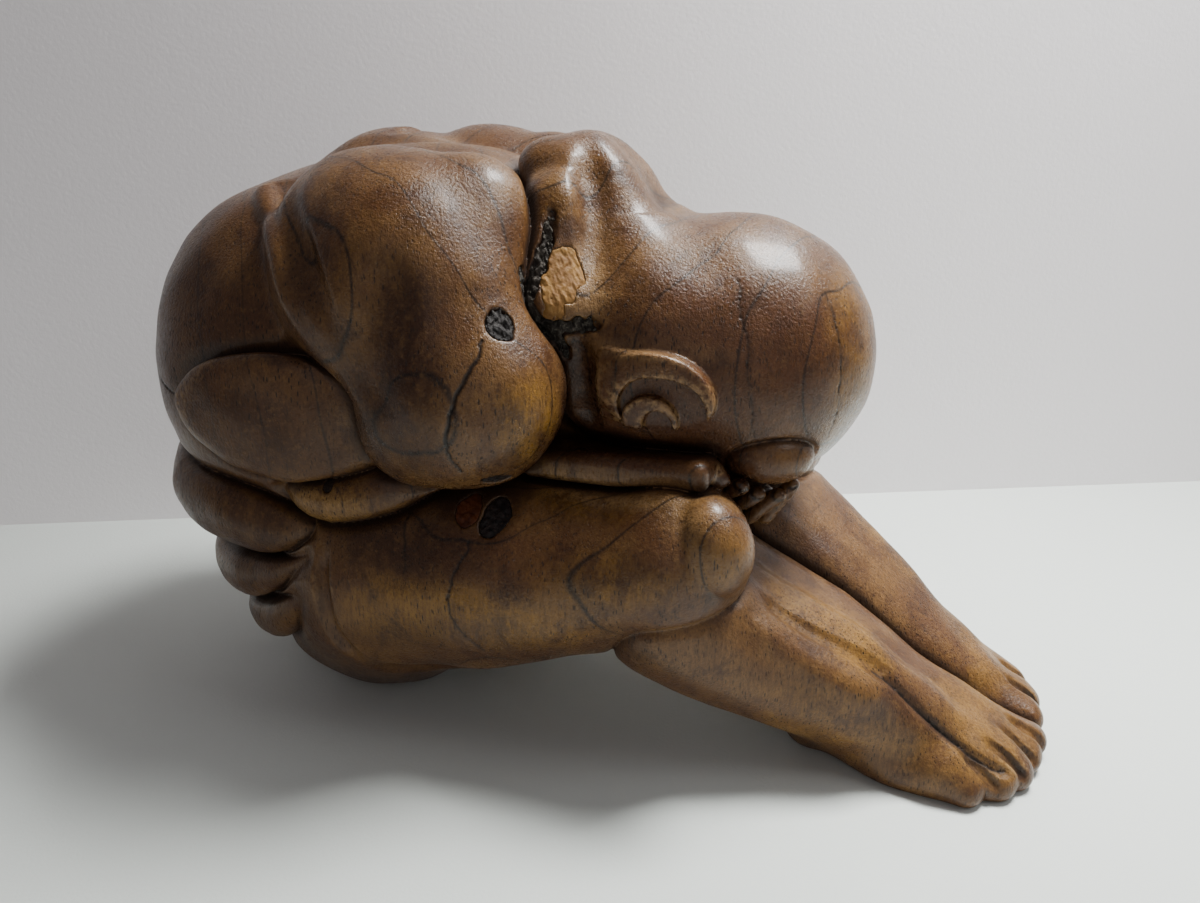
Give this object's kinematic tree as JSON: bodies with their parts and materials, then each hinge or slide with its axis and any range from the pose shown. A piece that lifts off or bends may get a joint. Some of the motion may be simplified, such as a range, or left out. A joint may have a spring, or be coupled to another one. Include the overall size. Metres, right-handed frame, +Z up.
{
  "type": "crouching figure carving",
  "caption": "Crouching human figure carved from one block of polished brown hardwood, head bowed on its hands, with knots, bark and fillers set in it.",
  "frame": {"origin": "bottom centre of the figure's bounding box, on the surface that it stands on", "axes": "+X forward, towards the toes; +Y towards the figure's left side; +Z up"},
  "size_m": [0.347, 0.172, 0.212],
  "materials": {
    "carved_wood": "waxed and hand polished",
    "dead_knot": "dry and dull",
    "pale_knot": "rough sawn grain",
    "bark": "rough and dull",
    "brown_filler": "satin resin filler",
    "dark_filler": "satin resin filler",
    "dark_peg": "waxed"
  },
  "bodies": {
    "root": {"carved_figure": "carved_wood", "shoulder_knot": "dead_knot", "neck_knot": "pale_knot", "neck_bark": "bark", "thigh_filler": "brown_filler", "thigh_dark_plug": "dark_filler", "armpit_filler": "dark_filler", "waist_peg": "dark_peg"}
  },
  "joints": []
}
